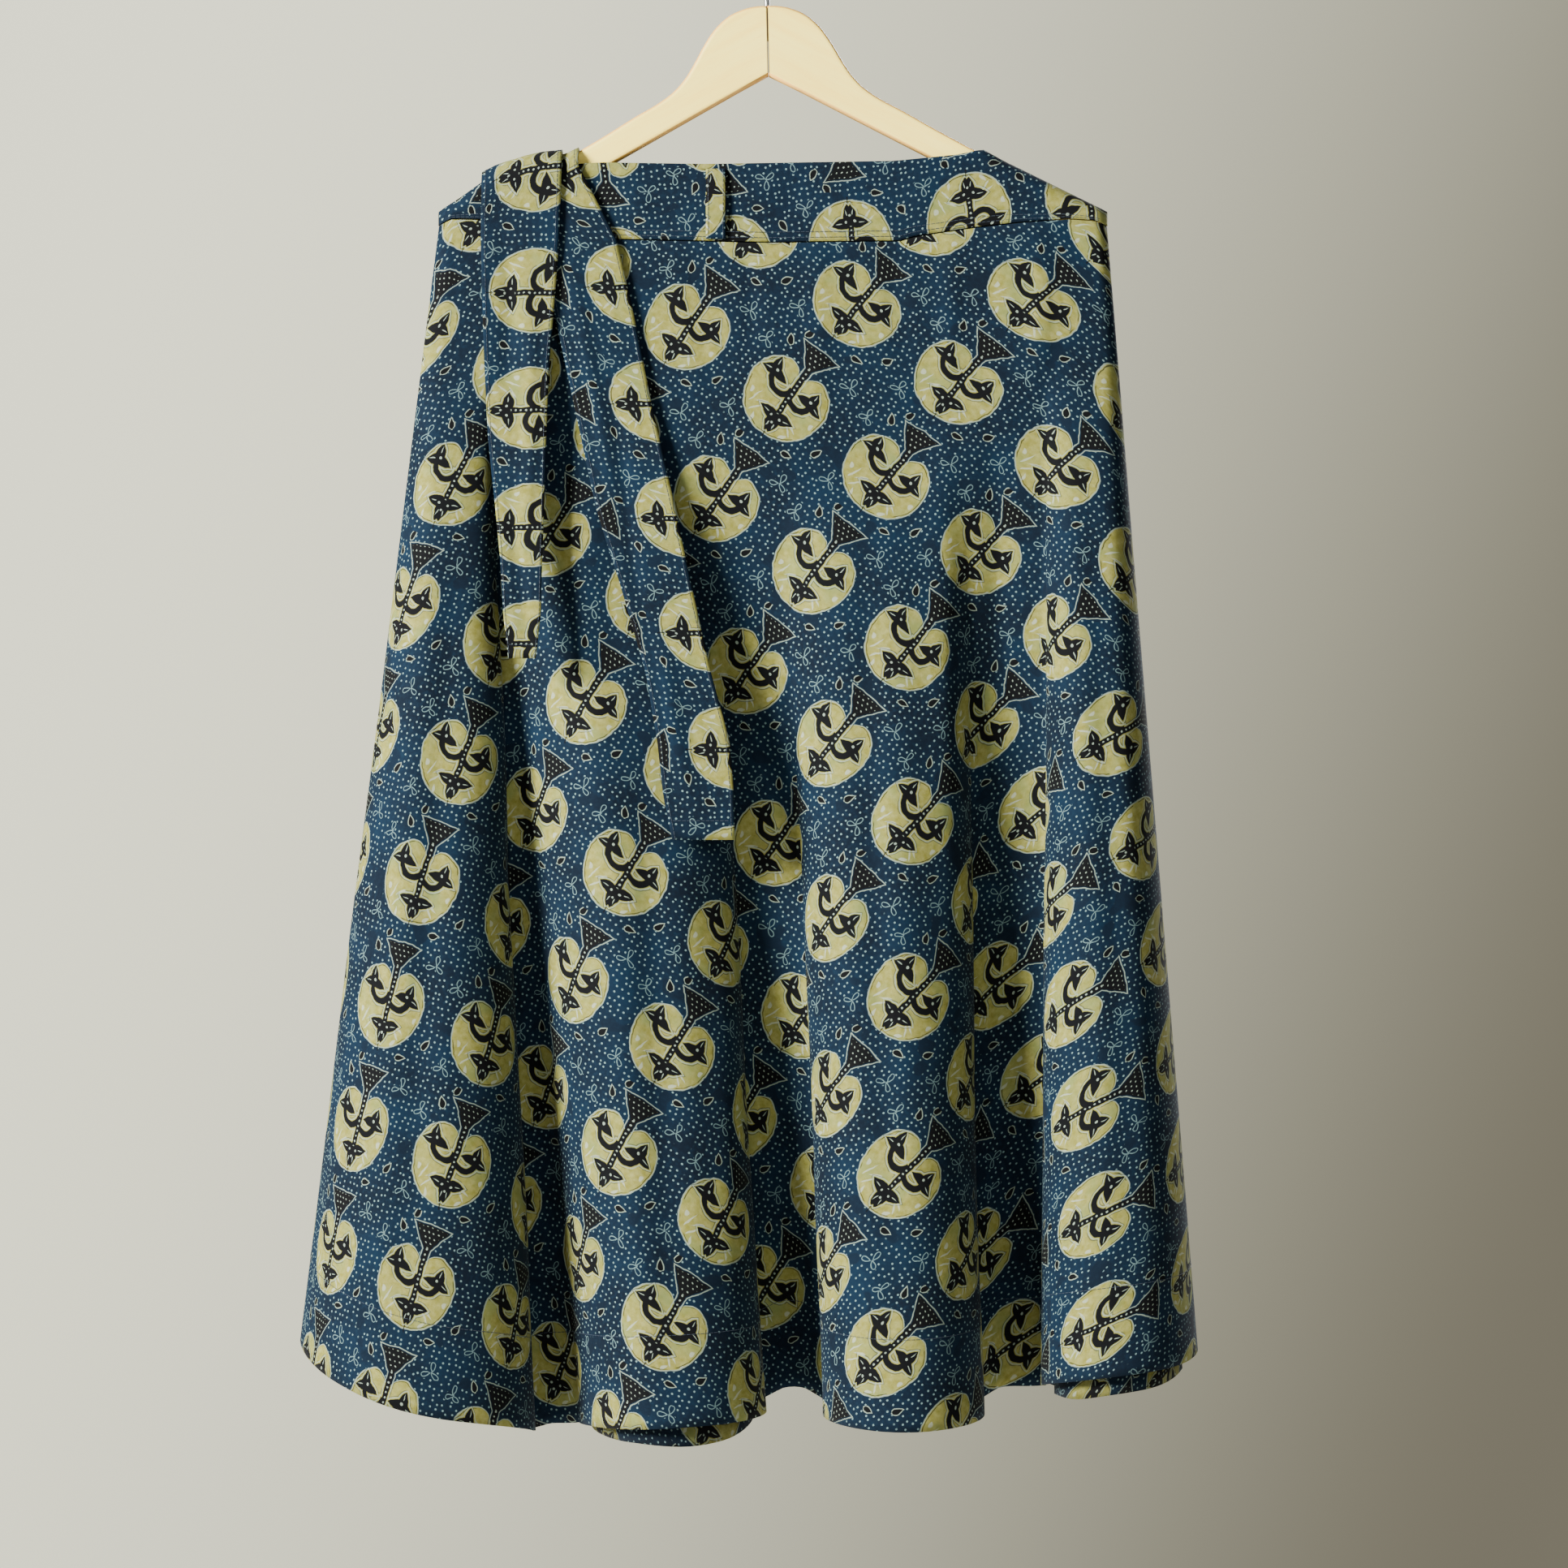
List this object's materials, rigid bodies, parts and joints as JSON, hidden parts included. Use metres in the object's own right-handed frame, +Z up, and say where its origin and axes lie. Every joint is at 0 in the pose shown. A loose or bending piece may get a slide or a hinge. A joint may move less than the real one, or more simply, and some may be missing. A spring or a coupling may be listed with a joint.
{
  "type": "wrap skirt on a wooden clothes hanger",
  "caption": "Flared wrap skirt of printed cotton with waistband, belt loop and hanging ties, draped over a wooden hanger with a steel hook.",
  "frame": {"origin": "inner top of the hanger's hook, where it sits on a rail", "axes": "+Z up, the skirt's front faces -Y, +X to the viewer's right"},
  "size_m": [0.5994, 0.1835, 1.0179],
  "materials": {
    "printed_cotton": "plain weave cotton, indigo with an ochre and black block print",
    "hanger_wood": "clear varnished pale wood",
    "hook_steel": "plated steel wire"
  },
  "bodies": {
    "root": {"front_panel": "printed_cotton", "back_panel": "printed_cotton", "underlap_panel": "printed_cotton", "waistband_front": "printed_cotton", "waistband_back": "printed_cotton", "belt_loop": "printed_cotton", "tie_front_tail": "printed_cotton", "tie_rear_tail": "printed_cotton", "hanger_left_half": "hanger_wood", "hanger_right_half": "hanger_wood", "hanger_hook": "hook_steel"}
  },
  "joints": []
}
